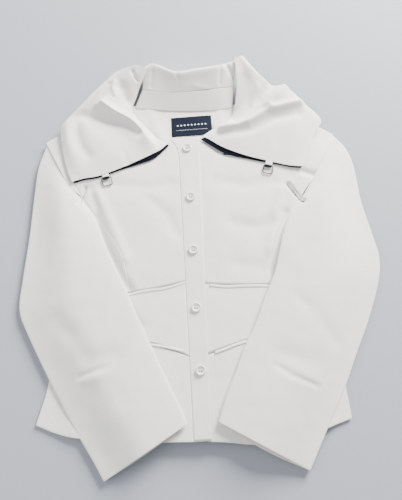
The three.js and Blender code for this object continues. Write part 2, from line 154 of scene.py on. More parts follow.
def finished(bm, name, material):
    """An object at the origin, in metres, from a mesh in millimetres."""
    bmesh.ops.scale(bm, vec=(MM, MM, MM), verts=bm.verts)
    mesh = bpy.data.meshes.new(name)
    for face in bm.faces:
        face.smooth = True
    bm.to_mesh(mesh)
    bm.free()
    mesh.materials.append(material)
    piece = bpy.data.objects.new(name, mesh)
    bpy.context.scene.collection.objects.link(piece)
    return piece


def thickened(piece, thickness, rounded=True):
    """Gives a cloth surface its thickness below it, with softened edges."""
    solid = piece.modifiers.new("thickness", "SOLIDIFY")
    solid.thickness = thickness * MM
    solid.offset = -1
    if rounded:
        soft = piece.modifiers.new("soft_edge", "BEVEL")
        soft.width = 0.42 * thickness * MM
        soft.segments = 2
        soft.limit_method = "ANGLE"
        soft.angle_limit = math.radians(50)
    return piece


def cloth(name, rows, across, along, relief=None, thickness=1.6, material=None, rounded=True):
    """One cut piece of the jacket's cloth."""
    bm = lofted(rows, across, along, relief)
    piece = finished(bm, name, material or cotton_twill())
    return thickened(piece, thickness, rounded)


def laid(piece, nodes, body="torso"):
    """Declares a cloth piece that stays with one body."""
    if body:
        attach(piece, body)
    if nodes:
        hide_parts(*nodes)
    return piece


# Materials


def linear(code):
    """The linear colour of a hexadecimal display colour."""
    parts = [int(code[i : i + 2], 16) / 255 for i in (1, 3, 5)]
    done = [p / 12.92 if p <= 0.04045 else ((p + 0.055) / 1.055) ** 2.4 for p in parts]
    return (*done, 1.0)


def add_node(tree, kind, inputs=None, **settings):
    """Adds a shader node with its settings, linking or setting its inputs."""
    node = tree.nodes.new(kind)
    for key, value in settings.items():
        setattr(node, key, value)
    for key, value in (inputs or {}).items():
        if isinstance(value, bpy.types.NodeSocket):
            tree.links.new(value, node.inputs[key])
        else:
            node.inputs[key].default_value = value
    return node


def new_material(name):
    """A named material with an empty tree, or the one already made."""
    found = bpy.data.materials.get(name)
    if found:
        return found, None
    material = bpy.data.materials.new(name)
    material.use_nodes = True
    material.node_tree.nodes.clear()
    return material, material.node_tree


def object_place(tree, scale):
    """Object coordinates in metres, scaled."""
    place = add_node(tree, "ShaderNodeTexCoord")
    return add_node(
        tree, "ShaderNodeMapping", {"Vector": place.outputs["Object"], "Scale": scale}
    ).outputs["Vector"]


def surface(tree, inputs):
    """A principled surface linked to the material output."""
    shader = add_node(tree, "ShaderNodeBsdfPrincipled", inputs)
    add_node(tree, "ShaderNodeOutputMaterial", {"Surface": shader.outputs["BSDF"]})
    return shader


def woven(name, light, shade, pitch, bump, roughness, sheen, specular=0.3):
    """A woven cloth: diagonal ribs of one pitch in millimetres and a slight uneven tone."""
    material, tree = new_material(name)
    if tree is None:
        return material
    ribs_scale = 1 / (pitch * MM * 2 * math.pi)
    ribs = add_node(
        tree,
        "ShaderNodeTexWave",
        {"Vector": object_place(tree, (ribs_scale,) * 3), "Scale": 0.32, "Distortion": 0.6},
        bands_direction="DIAGONAL",
    )
    cloudy = add_node(
        tree, "ShaderNodeTexNoise", {"Vector": object_place(tree, (1, 1, 1)), "Scale": 9.0}
    )
    thread = add_node(
        tree, "ShaderNodeTexNoise", {"Vector": object_place(tree, (1, 0.25, 1)), "Scale": 2200.0}
    )
    tone = add_node(
        tree,
        "ShaderNodeMix",
        {"Factor": cloudy.outputs["Fac"], "A": linear(light), "B": linear(shade)},
        data_type="RGBA",
    )
    # the colour sockets of a mix node come after its number and vector sockets
    tone.inputs[6].default_value = linear(light)
    tone.inputs[7].default_value = linear(shade)
    height = add_node(
        tree,
        "ShaderNodeMath",
        {0: ribs.outputs["Fac"], 1: thread.outputs["Fac"]},
        operation="ADD",
    )
    relief = add_node(
        tree,
        "ShaderNodeBump",
        {"Height": height.outputs["Value"], "Strength": bump, "Distance": 0.00004},
    )
    surface(
        tree,
        {
            "Base Color": tone.outputs[2],
            "Roughness": roughness,
            "Normal": relief.outputs["Normal"],
            "Specular IOR Level": specular,
            "Sheen Weight": sheen,
            "Sheen Roughness": 0.5,
        },
    )
    return material


def cotton_twill():
    """Off-white cotton twill."""
    return woven("off_white_cotton_twill", "#f3f0ea", "#edeae4", 0.7, 0.35, 0.82, 0.12)


def navy_satin():
    """Navy woven satin of the label."""
    return woven("navy_woven_satin", "#0a1220", "#0e1728", 0.3, 0.3, 0.7, 0.0, 0.1)


def undercollar():
    """Near-black painted shade on the cloth under the collar, for the shadow in the gap below the
    wings.
    """
    return woven("undercollar_painted_shade", "#0b0e17", "#10141f", 0.8, 0.4, 0.9, 0.0, 0.05)


def white_satin():
    """White weft of the label's figures."""
    return woven("white_woven_weft", "#d9dade", "#cfd2d8", 0.3, 0.3, 0.6, 0.05)


def felt():
    """Grey-white padding felt."""
    return woven("pressed_wool_felt", "#c9c6c0", "#b9b6b0", 1.2, 0.6, 0.95, 0.2)


def thread_cotton():
    """White sewing thread."""
    return woven("cotton_sewing_thread", "#e4e1db", "#d6d3cc", 0.25, 0.5, 0.7, 0.1)


def resin():
    """Polished white polyester resin with a faint cloud in it."""
    material, tree = new_material("polished_white_resin")
    if tree is None:
        return material
    cloudy = add_node(
        tree, "ShaderNodeTexNoise", {"Vector": object_place(tree, (1, 1, 1)), "Scale": 180.0}
    )
    tone = add_node(tree, "ShaderNodeMix", {"Factor": cloudy.outputs["Fac"]}, data_type="RGBA")
    tone.inputs[6].default_value = linear("#f1efec")
    tone.inputs[7].default_value = linear("#e6e3de")
    surface(tree, {"Base Color": tone.outputs[2], "Roughness": 0.22, "IOR": 1.5})
    return material


def nickel():
    """Dark nickel plate with fine scuffs."""
    material, tree = new_material("dark_nickel_plate")
    if tree is None:
        return material
    scuffs = add_node(
        tree, "ShaderNodeTexNoise", {"Vector": object_place(tree, (1, 1, 1)), "Scale": 900.0}
    )
    rough = add_node(
        tree,
        "ShaderNodeMapRange",
        {"Value": scuffs.outputs["Fac"], "To Min": 0.22, "To Max": 0.42},
    )
    surface(
        tree,
        {
            "Base Color": linear("#2c3331"),
            "Metallic": 1.0,
            "Roughness": rough.outputs["Result"],
            "IOR": 2.3,
        },
    )
    return material


# Settings shown in the sidebar


class JacketSettings(bpy.types.PropertyGroup):
    """Sizes that the pieces share."""

    button: bpy.props.FloatProperty(
        name="Button", description="Button diameter", default=0.015, unit="LENGTH"
    )
    button_height: bpy.props.FloatProperty(
        name="Button height", description="Rim height of a button", default=0.0028, unit="LENGTH"
    )
    wire: bpy.props.FloatProperty(
        name="Wire", description="Wire diameter of the collar rings", default=0.0016, unit="LENGTH"
    )
    key_light: bpy.props.FloatProperty(
        name="Key light", description="Power of the main soft light", default=195.0, unit="POWER"
    )


def settings():
    """The jacket's settings on the scene."""
    return bpy.context.scene.jacket


# Stage


def soft_light(name, place, size, power, colour):
    """A square soft light pointing at the middle of the jacket."""
    lamp = bpy.data.lights.new(name, "AREA")
    lamp.size = size
    lamp.energy = power
    lamp.color = colour
    light = bpy.data.objects.new(name, lamp)
    light.location = place
    aim = Vector((0, 0, 0)) - Vector(place)
    light.rotation_euler = aim.to_track_quat("-Z", "Y").to_euler()
    bpy.context.scene.collection.objects.link(light)


class JACKET_OT_stage(bpy.types.Operator):
    """Adds the camera, the floor and the lights"""

    bl_idname = "jacket.stage"
    bl_label = "Stage"

    def execute(self, context):
        lens = bpy.data.cameras.new("camera")
        lens.lens = 32.4
        lens.sensor_width = 36
        lens.clip_start = 0.01
        camera = bpy.data.objects.new("camera", lens)
        camera.location = (-0.0024, -0.250, 0.670)
        camera.rotation_euler = (math.radians(19), 0, math.radians(-3.6))
        context.scene.collection.objects.link(camera)
        context.scene.camera = camera
        self.floor()
        soft_light("key", (1.1, 1.5, 0.95), 0.9, settings().key_light, (1, 0.985, 0.965))
        soft_light("fill", (-1.2, 0.1, 1.3), 1.6, settings().key_light * 0.10, (0.93, 0.96, 1))
        world = bpy.data.worlds.new("studio")
        world.use_nodes = True
        background = world.node_tree.nodes["Background"]
        background.inputs["Color"].default_value = (0.93, 0.95, 1, 1)
        background.inputs["Strength"].default_value = 0.62
        context.scene.world = world
        return {"FINISHED"}

    def floor(self):
        """A large pale floor just under the jacket."""
        bm = bmesh.new()
        bmesh.ops.create_grid(bm, x_segments=4, y_segments=4, size=3000)
        bmesh.ops.translate(bm, vec=(0, 0, -0.4), verts=bm.verts)
        material, tree = new_material("pale_matt_floor")
        grain = add_node(
            tree, "ShaderNodeTexNoise", {"Vector": object_place(tree, (1, 1, 1)), "Scale": 40.0}
        )
        relief = add_node(
            tree,
            "ShaderNodeBump",
            {"Height": grain.outputs["Fac"], "Strength": 0.05, "Distance": 0.0005},
        )
        surface(
            tree,
            {
                "Base Color": linear("#a3a7ae"),
                "Roughness": 0.9,
                "Normal": relief.outputs["Normal"],
            },
        )
        finished(bm, "floor", material)


# Back of the body


class JACKET_OT_back(bpy.types.Operator):
    """Adds the back panels, the neck facing and the shoulder pads"""

    bl_idname = "jacket.back"
    bl_label = "Back"

    def execute(self, context):
        bodice = [
            [(-196, -83, 2), (-100, -79, 2.2), (0, -75, 2.2), (100, -79, 2.2), (196, -83, 2)],
            [(-206, -10, 2), (-100, -10, 2.2), (0, -10, 2.2), (100, -10, 2.2), (206, -10, 2)],
            [(-203, 60, 2), (-100, 55, 2.2), (0, 55, 2.2), (100, 55, 2.2), (206, 55, 2)],
            [(-206, 116, 2), (-100, 128, 2.4), (0, 135, 2.4), (100, 128, 2.4), (212, 112, 2)],
            [(-234, 173, 2), (-150, 205, 3), (0, 230, 3.4), (150, 205, 3), (242, 169, 2)],
        ]
        midriff = [
            [(-206, -150, 2), (-100, -160, 2.2), (0, -165, 2.2), (100, -160, 2.2), (200, -152, 2)],
            [(-196, -84, 2), (-100, -80, 2.2), (0, -76, 2.2), (100, -80, 2.2), (196, -84, 2)],
        ]
        peplum = [
            [(-229, -264, 2), (-110, -286, 2.2), (0, -292, 2.2), (100, -293, 2.2), (204, -281, 2)],
            [(-206, -151, 2), (-100, -161, 2.2), (0, -166, 2.2), (100, -161, 2.2), (200, -153, 2)],
        ]
        laid(cloth("back_bodice_panel", bodice, 90, 60), ["back_bodice"])
        laid(cloth("back_midriff_panel", midriff, 80, 16), ["back_midriff"])
        laid(cloth("back_peplum_panel", peplum, 80, 24), ["back_peplum"])
        self.neck_facing()
        for side in (LEFT, RIGHT):
            self.shoulder_pad(side)
        return {"FINISHED"}

    def neck_facing(self):
        """The facing inside the back neck."""
        rows = [
            [(-120, 120, 3.9), (-60, 118, 4.1), (0, 118, 4.1), (60, 118, 4.1), (120, 120, 3.9)],
            [(-122, 180, 4), (-60, 180, 4.3), (0, 180, 4.3), (60, 180, 4.3), (122, 180, 4)],
            [(-110, 254, 7), (-70, 249, 5.6), (0, 241, 5), (44, 240, 5), (104, 246, 7)],
        ]
        folds = [
            ([(-62, 240), (-52, 205), (-40, 180)], 1.6, 8),
            ([(62, 238), (58, 204)], 1.4, 8),
            ([(-36, 236), (-34, 180)], -0.7, 9),
        ]
        piece = cloth("neck_facing", rows, 60, 40, lambda x, y: folds_height(x, y, folds))
        laid(piece, ["back_neck_facing"])

    def shoulder_pad(self, side):
        """A thin felt crescent inside the shoulder."""
        bm = bmesh.new()
        bmesh.ops.create_uvsphere(bm, u_segments=32, v_segments=16, radius=1)
        middle = Vector((side * 168, 150, 7.6))
        for vert in bm.verts:
            bow = 14 * vert.co.y * vert.co.y
            vert.co = middle + Vector(
                (side * (34 * vert.co.x - bow), 46 * vert.co.y, 4.2 * vert.co.z)
            )
        bmesh.ops.recalc_face_normals(bm, faces=bm.faces)
        name = SIDE_NAMES[side]
        pad = finished(bm, f"felt_shoulder_pad_{name}", felt())
        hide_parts(f"shoulder_pad_{name}")
        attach(pad, "torso")


# Fronts


FRONT_FOLDS = {
    LEFT: [
        ([(-150, 40), (-134, -10), (-114, -56), (-99, -80)], -4.6, 7),
        ([(-148, 82), (-136, 52), (-119, 8), (-104, -32)], 2.4, 8),
        ([(-160, 92), (-148, 50)], -1.6, 6),
        ([(-118, 96), (-70, 86), (-34, 90)], -1.8, 13),
        ([(-66, 66), (-38, 40), (-26, 6)], -1.8, 10),
        ([(-104, -110), (-84, -136)], -1.8, 8),
        ([(-168, 94), (-172, 80), (-177, 64)], -5.0, 2.6),
    ],
    RIGHT: [
        ([(150, 30), (134, -20), (120, -64)], -3.0, 7),
        ([(146, 70), (132, 20), (118, -30)], 2.0, 8),
        ([(44, 92), (90, 82), (134, 86)], -1.8, 13),
        ([(66, 18), (100, 6), (124, 14)], -2.4, 12),
        ([(60, -50), (100, -58)], -1.4, 12),
        ([(160, 80), (169, 64), (180, 46)], -9.0, 2.4),
        ([(186, 102), (206, 92)], -3.2, 6),
    ],
}


def front_relief(side):
    """Height added to a front panel by its folds and uneven lie."""
    folds = FRONT_FOLDS[side]
    return lambda x, y: folds_height(x, y, folds) + rumple(x, y)


PRINCESS = {
    LEFT: [(-98, -84, 14), (-112, -20, 14.6), (-150, 40, 14.6), (-179, 88, 14.6),
           (-191, 116, 15), (-196, 158, 14), (-200, 204, 9)],
    RIGHT: [(113, -85, 14), (126, -20, 14.6), (155, 40, 14.6), (179, 88, 14.6),
            (191, 112, 15), (198, 150, 14), (202, 196, 9)],
}
FRONT_ROWS = {
    LEFT: {
        "front": [
            [(-15, -73, 14.5), (-15, -10, 14.5), (-15, 50, 14.5), (-15, 100, 14.5),
             (-15, 140, 14.5), (-19, 160, 14.5), (-27, 173, 13.8)],
            [(-34, -76.5, 14.4), (-36, -10, 15.2), (-39, 45, 15.6), (-42, 88, 15.4),
             (-43, 118, 15), (-44, 138, 14.4), (-46, 153, 13.4)],
            [(-58, -80.5, 14.4), (-62, -10, 15.4), (-72, 45, 16), (-82, 86, 15.6),
             (-86, 112, 15), (-86, 127, 14.4), (-84, 137, 13)],
            [(-78, -82.5, 14.2), (-88, -15, 15.2), (-112, 42, 15.6), (-132, 88, 15.4),
             (-140, 120, 15), (-142, 160, 13), (-120, 214, 9)],
            PRINCESS[LEFT],
        ],
        "side_front": [
            PRINCESS[LEFT],
            [(-150, -85, 12.6), (-160, -20, 13.4), (-168, 36, 14), (-175, 78, 15),
             (-194, 106, 15.4), (-207, 146, 14.4), (-219, 196, 9)],
            [(-196, -84, 3.4), (-204, -20, 3.4), (-190, 34, 9), (-172, 70, 14.6),
             (-196, 100, 15.6), (-214, 136, 15), (-238, 185, 8)],
        ],
        "midriff": [
            [(-15, -184, 14.5), (-15, -130, 14.5), (-15, -73, 14.5)],
            [(-45, -169, 14.6), (-45, -125, 14.8), (-45, -80.7, 14.4)],
            [(-70, -160.6, 14.6), (-72, -122, 14.8), (-74, -83, 14.4)],
            [(-106, -156, 14.2), (-106, -120, 14.4), (-106, -87.4, 14)],
            [(-152, -153, 12.6), (-152, -120, 12.6), (-152, -86.6, 12.6)],
            [(-199, -150, 3.4), (-197, -118, 3.4), (-196, -85, 3.4)],
        ],
        "peplum": [
            [(-15, -296.6, 14.5), (-15, -240, 14.5), (-15, -184, 14.5)],
            [(-45, -295.2, 14.2), (-45, -235, 14.6), (-45, -172, 14.6)],
            [(-68, -293.6, 14), (-68, -230, 14.6), (-70, -163.2, 14.6)],
            [(-112, -289.6, 12), (-108, -225, 13.6), (-106, -158, 14.2)],
            [(-172, -283, 7), (-162, -215, 9), (-152, -155, 11)],
            [(-203, -275, 4), (-186, -212, 5), (-178, -153, 6.5)],
            [(-232, -262.6, 3.4), (-215, -206, 3.4), (-199, -151.6, 3.4)],
        ],
    },
    RIGHT: {
        "front": [
            [(4, -75, 12.6), (4, -10, 12.6), (4, 50, 12.6), (4, 100, 12.6),
             (5, 140, 12.6), (7, 160, 12.8), (10, 173, 12.8)],
            [(28, -79.5, 13.8), (30, -10, 14.6), (33, 45, 15), (34, 92, 15),
             (33, 128, 14.8), (31, 148, 14.4), (29, 164, 13.4)],
            [(58, -82.6, 14.2), (62, -10, 15.2), (70, 45, 15.8), (76, 86, 15.4),
             (76, 112, 15), (74, 128, 14.4), (70, 141, 13)],
            [(80, -84, 14.2), (88, -15, 15.2), (112, 42, 15.6), (132, 88, 15.4),
             (140, 120, 15), (146, 160, 13), (124, 212, 9)],
            PRINCESS[RIGHT],
        ],
        "side_front": [
            PRINCESS[RIGHT],
            [(150, -85, 12.6), (160, -20, 13.4), (166, 24, 14), (174, 66, 15),
             (200, 102, 15.4), (215, 138, 14.4), (224, 188, 9)],
            [(196, -84, 3.4), (204, -20, 3.4), (188, 20, 9), (176, 50, 14.6),
             (205, 92, 15.6), (226, 128, 15), (250, 171, 8)],
        ],
        "midriff": [
            [(4, -184, 12.6), (4, -130, 12.6), (4, -77, 12.6)],
            [(30, -176, 14.2), (30, -125, 14.2), (30, -82, 14)],
            [(70, -165, 14.6), (72, -122, 14.8), (74, -84.6, 14.4)],
            [(111, -158, 14.2), (111, -120, 14.4), (111, -86.4, 14)],
            [(152, -154, 12.6), (152, -120, 12.6), (152, -86.6, 12.6)],
            [(199, -150, 3.4), (197, -118, 3.4), (196, -85, 3.4)],
        ],
        "peplum": [
            [(4, -297.6, 12.6), (4, -240, 12.6), (4, -187, 12.6)],
            [(30, -300, 14), (30, -235, 14.4), (30, -178.6, 14.2)],
            [(70, -305, 14), (70, -235, 14.6), (70, -167.6, 14.6)],
            [(112, -301, 12), (111, -225, 13.6), (111, -160.6, 14.2)],
            [(160, -293.6, 7), (156, -215, 9), (152, -156.6, 11)],
            [(184, -287, 4), (180, -215, 5), (178, -154, 6.5)],
            [(206, -281, 3.4), (203, -212, 3.4), (199, -151.6, 3.4)],
        ],
    },
}
FRONT_CUTS = {
    "front": (110, 80, (0.18, 0.31), 0.0396),
    "side_front": (130, 60, (0.11, 0.27), 0.0162),
    "midriff": (30, 60, (0.19, 0.10), 0.015),
    "peplum": (40, 66, (0.21, 0.14), 0.0252),
}


class JACKET_OT_fronts(bpy.types.Operator):
    """Adds the front panels, the waist and lower welts and the facings"""

    bl_idname = "jacket.fronts"
    bl_label = "Fronts"

    def execute(self, context):
        for side in (LEFT, RIGHT):
            for kind, rows in FRONT_ROWS[side].items():
                self.panel(side, kind, rows)
            self.facing(side)
            self.welts(side)
        return {"FINISHED"}

    def panel(self, side, kind, rows):
        """One cut panel of a front."""
        name = f"{kind}_{SIDE_NAMES[side]}"
        along, across, flat, area = FRONT_CUTS[kind]
        relief = front_relief(side)
        piece = cloth(f"{name}_panel", rows, along, across, relief, rounded=kind == "peplum")
        laid(piece, [name])

    def facing(self, side):
        """The facing down the inner edge of a front."""
        rows = [
            [(side * 2, -294, 12), (side * 2, -60, 12), (side * 2, 100, 12), (side * 14, 164, 12)],
            [(side * 50, -290, 11), (side * 50, -60, 12), (side * 52, 100, 12), (side * 62, 176, 12)],
        ]
        if side == LEFT:
            rows = [[(x, y, z - 0.6) for x, y, z in row] for row in rows]
        else:
            rows = [[(x + 4, y, z - 1.4) for x, y, z in row] for row in rows]
        name = SIDE_NAMES[side]
        piece = cloth(f"front_facing_{name}", rows, 80, 12, None, 0.8)
        laid(piece, [f"facing_{name}"])

    def welts(self, side):
        """The narrow welts set in the waist and lower seams."""
        name = SIDE_NAMES[side]
        if side == LEFT:
            waist = [(-107, -86.5, 14.9), (-74, -82, 15.2), (-45, -79.6, 15.2), (-15, -72.6, 14.7)]
            lower = [(-70, -161.5, 15.2), (-54, -165, 15.4), (-38, -169.5, 15.4), (-22, -174, 15)]
            drops = (4.0, 4.0)
        else:
            waist = [(21, -79, 14.6), (47, -83, 15.1), (74, -83.6, 15.2), (112, -85.5, 14.9)]
            lower = [(22, -178.6, 14.8), (38, -174, 15.4), (54, -169, 15.4), (71, -165, 15.2)]
            drops = (4.0, 4.0)
        for kind, line, drop in (("waist", waist, drops[0]), ("lower", lower, drops[1])):
            tilt = 0.3 * drop if (kind, side) == ("lower", LEFT) else 0
            rise = 0.5 if kind == "lower" else 0.1
            low = [(x + tilt, y - drop, z + rise) for x, y, z in line]
            crown = [(x + tilt / 2, y - drop / 2, z + 0.25 + rise) for x, y, z in line]
            rows, relief = [low, crown, line], front_relief(side)
            piece = cloth(f"{kind}_welt_strip_{name}", rows, 60, 8, relief, 0.8)
            laid(piece, [f"{kind}_welt_{name}"])


# Front closure


def band_edge(y):
    """How far out the band's free edge is at a height on the body."""
    return 9 + 11.5 * (y + 298) / 472


class JACKET_OT_closure(bpy.types.Operator):
    """Adds the button band, the strip under it and the buttons"""

    bl_idname = "jacket.closure"
    bl_label = "Closure"

    def execute(self, context):
        heights = [-296.6, -240, -184, -128, -73, -10, 50, 100, 140, 160, 173]
        inner = [(-15, y, 14.5) for y in heights]
        middle = [(1, y, 15.2) for y in heights]
        outer = [(band_edge(y), y, 15.6) for y in heights]
        inner[-2:] = [(-19, 160, 14.5), (-27, 173, 13.8)]
        middle[-1], outer[-1] = (1, 175.5, 14.6), (22, 178, 14.4)
        relief = front_relief(LEFT)
        rows = [inner, middle, outer]
        band = cloth("button_band_strip", rows, 130, 16, relief, rounded=False)
        laid(band, ["button_band"])
        low = [[(x + out, y, 12.0) for x, y, z in row] for out, row in ((-2, inner), (9, outer))]
        stand = cloth("button_stand_strip", low, 80, 8, None, 0.8)
        laid(stand, ["button_stand"])
        for number, place in enumerate(BUTTON_PLACES, 1):
            self.button(number, place)
            self.threads(number, place)
        return {"FINISHED"}

    def button(self, number, place):
        """A turned four-hole button with a raised rim."""
        radius = settings().button / MM / 2
        height = settings().button_height / MM
        profile = [
            (0, 0.0), (radius * 0.8, 0.0), (radius * 0.96, 0.6), (radius, 1.3),
            (radius * 0.95, height - 0.3), (radius * 0.84, height), (radius * 0.72, height - 0.25),
            (radius * 0.6, height - 1.1), (radius * 0.45, height - 1.3), (0, height - 1.3),
        ]
        bm = bmesh.new()
        verts = [bm.verts.new((r, 0, z)) for r, z in profile]
        edges = [bm.edges.new(pair) for pair in zip(verts, verts[1:])]
        bmesh.ops.spin(
            bm, geom=verts + edges, axis=(0, 0, 1), cent=(0, 0, 0), steps=48,
            angle=2 * math.pi, use_merge=True,
        )
        bmesh.ops.remove_doubles(bm, verts=bm.verts, dist=0.001)
        bmesh.ops.recalc_face_normals(bm, faces=bm.faces)
        bmesh.ops.translate(bm, vec=(*place, BUTTON_SEAT), verts=bm.verts)
        button = finished(bm, f"resin_button_{number}", resin())
        self.drill(button, place)
        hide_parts(f"button_{number}")
        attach(button, f"button_{number}")

    def drill(self, button, place):
        """Cuts the four holes through a button."""
        bm = bmesh.new()
        for side in (-1, 1):
            for end in (-1, 1):
                spot = Matrix.Translation((place[0] + side * 1.7, place[1] + end * 1.7, BUTTON_SEAT))
                bmesh.ops.create_cone(
                    bm, cap_ends=True, segments=16, radius1=0.95, radius2=0.95, depth=9, matrix=spot
                )
        cutter = finished(bm, "hole_cutter", resin())
        cut = button.modifiers.new("holes", "BOOLEAN")
        cut.object = cutter
        cut.operation = "DIFFERENCE"
        graph = bpy.context.evaluated_depsgraph_get()
        drilled = bpy.data.meshes.new_from_object(button.evaluated_get(graph))
        button.modifiers.remove(cut)
        button.data = drilled
        bpy.data.objects.remove(cutter)

    def threads(self, number, place):
        """The threads that cross between a button's holes, and its shank."""
        bm = bmesh.new()
        x, y = place
        top = BUTTON_SEAT + 1.7
        for side in (-1, 1):
            for shift in (-0.35, 0.35):
                line = [
                    (x + side * 1.7 + shift, y - 2.0, BUTTON_SEAT - 0.6),
                    (x + side * 1.7 + shift, y - 1.5, top),
                    (x + side * 1.7 + shift, y, top + 0.5),
                    (x + side * 1.7 + shift, y + 1.5, top),
                    (x + side * 1.7 + shift, y + 2.0, BUTTON_SEAT - 0.6),
                ]
                wire(bm, along_path(line, 14), 0.33, 8)
        thread = finished(bm, f"button_threads_{number}", thread_cotton())
        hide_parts(f"button_thread_{number}")
        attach(thread, f"button_{number}")


def wire(bm, path, radius, sides):
    """A round wire along a path: a ring of points extruded from place to place, closed by caps."""
    before = Vector(path[1]) - Vector(path[0])
    turn = before.to_track_quat("Z", "Y").to_matrix().to_4x4()
    made = bmesh.ops.create_circle(
        bm, cap_ends=True, radius=radius, segments=sides, matrix=Matrix.Translation(path[0]) @ turn
    )
    ring = [face for face in made["verts"][0].link_faces]
    for here, place in zip(path, path[1:]):
        step = Vector(place) - Vector(here)
        result = bmesh.ops.extrude_face_region(bm, geom=ring)
        verts = [g for g in result["geom"] if isinstance(g, bmesh.types.BMVert)]
        if here is not path[0]:
            bmesh.ops.delete(bm, geom=ring, context="FACES_ONLY")
        bmesh.ops.translate(bm, vec=step, verts=verts)
        spin = before.rotation_difference(step).to_matrix()
        bmesh.ops.rotate(bm, cent=place, matrix=spin, verts=verts)
        before = step
        ring = [g for g in result["geom"] if isinstance(g, bmesh.types.BMFace)]
    bmesh.ops.recalc_face_normals(bm, faces=bm.faces)


# Collar


WING_ROWS = {
    LEFT: [
        [(-62, 305, 38), (-66, 294, 34), (-74, 279, 27), (-82, 262, 19), (-91, 240, 12),
         (-80, 220, 9), (-61, 196, 10), (-48, 178, 13), (-31, 168, 16)],
        [(-80, 311, 38.5), (-84, 294, 33), (-93, 276, 27), (-103, 258, 23), (-112, 243, 21),
         (-98, 222, 19.5), (-77, 199, 19.5), (-60, 177, 19.5), (-41, 157, 18)],
        [(-102, 306, 38.5), (-115, 286, 34), (-126, 270, 32), (-136, 256, 31), (-139, 244, 34),
         (-118, 224, 34), (-91, 206, 33), (-70, 180, 29), (-52, 149, 20)],
        [(-106, 304.5, 37), (-125, 283, 34), (-140, 264, 31), (-153, 248, 27), (-158, 234, 24),
         (-138, 214, 23), (-112, 194, 24), (-90, 168, 23), (-75, 138, 20)],
        [(-110, 304, 36), (-134, 281, 33), (-153, 261, 29.5), (-170, 240, 26), (-176, 222, 24),
         (-164, 198, 25), (-140, 170, 26), (-120, 146, 24), (-108, 124, 20)],
        [(-114, 304, 34), (-141, 279, 31), (-163, 256, 28), (-184, 231, 24.5), (-190, 213, 23),
         (-187, 190, 23), (-174, 161, 24), (-158, 134, 23), (-145, 111, 20)],
        [(-117, 304, 32), (-146, 277.5, 28), (-171, 252, 25), (-196, 223, 22), (-201, 208, 22),
         (-198, 182, 23), (-189, 152, 24), (-178, 127, 23), (-168, 108, 20)],
        [(-120, 304, 27), (-149, 276, 23), (-178, 248.5, 20), (-205, 218.5, 18), (-211, 203, 17.5),
         (-208, 174, 18), (-202, 143, 19), (-196, 122, 19.5), (-189, 103, 20)],
    ],
    RIGHT: [
        [(91, 316, 38), (93, 297, 33), (93, 276, 26), (90, 252, 18), (84, 226, 11),
         (72, 212, 9), (58, 200, 10), (42, 190, 12), (26, 177, 15)],
        [(98, 318, 38), (104, 297, 32), (107, 278, 26), (107, 258, 22), (102, 236, 20),
         (88, 216, 20), (72, 201, 20), (54, 186, 19), (36, 171, 17)],
        [(102, 320, 38), (113, 299, 34), (121, 280, 30), (127, 260, 27), (126, 238, 25),
         (111, 215, 25), (94, 194, 25), (77, 174, 23), (60, 152, 19)],
        [(104, 321, 37), (118, 300, 34), (131, 282, 31), (142, 262, 29), (146, 238, 30),
         (136, 213, 27), (123, 188, 26), (110, 162, 23), (97, 134, 19)],
        [(106, 322, 36), (121, 301, 32), (138, 281, 29), (156, 264, 29), (168, 240, 31),
         (166, 212, 27), (158, 182, 26), (149, 152, 23), (140, 119, 19)],
        [(108, 323, 33), (123, 302, 29), (141, 279, 25), (166, 266, 26), (188, 244, 28),
         (193, 214, 26), (184, 180, 26), (175, 145, 23), (166, 111, 19.5)],
        [(109, 324, 29), (124, 301, 24), (142, 272, 20), (172, 265, 19), (203, 232, 19),
         (229, 196, 19.5), (218, 172, 20), (202, 138, 20), (187, 108, 20)],
    ],
}
WING_FOLDS = {
    LEFT: [
        ([(-172, 226), (-150, 220), (-126, 211), (-102, 202), (-78, 184)], -4.5, 9),
        ([(-139, 244), (-118, 225), (-91, 207), (-74, 189)], 2.6, 3.5),
        ([(-117, 283), (-121, 273), (-118, 262)], 2.6, 3.5),
        ([(-106, 276), (-100, 258)], -6, 10),
        ([(-86, 302), (-84, 295), (-79, 287)], -3.2, 2.6),
        ([(-80, 222), (-62, 198), (-50, 176)], -1.0, 2.2),
        ([(-74, 224), (-57, 199), (-45, 178)], 0.7, 2.6),
        ([(-185, 224), (-183, 197), (-176, 168), (-164, 148)], -2.6, 9),
        ([(-128, 280), (-146, 246)], -1.4, 4),
        ([(-98, 128), (-104, 150)], -0.8, 5),
    ],
    RIGHT: [
        ([(154, 266), (130, 243), (106, 220), (86, 206)], -10.5, 12),
        ([(178, 264), (160, 243), (143, 224)], 6.5, 8),
        ([(62, 188), (104, 195), (139, 213), (164, 219), (196, 227)], 6.4, 7),
        ([(56, 179), (80, 178), (110, 180), (150, 198), (190, 206)], -2.8, 8),
        ([(128, 262), (118, 236)], 1.6, 7),
    ],
}
# how far the under cloth, coloured as painted shade, shows below each wing's lower edge
UNDER_PEEK = {LEFT: (6, 8, 6, 2.4, 1.6, 1.5, 1.2), RIGHT: (10, 10, 5, 2.4, 1.7, 1.4)}
UNDER_TIP = {LEFT: (-30, 163, 16.4), RIGHT: (24, 171, 16)}


def wing_relief(side):
    """Height added to a collar wing by its folds."""
    folds = WING_FOLDS[side]
    return lambda x, y: folds_height(x, y, folds) + rumple(x, y, 30.0, 0.4)


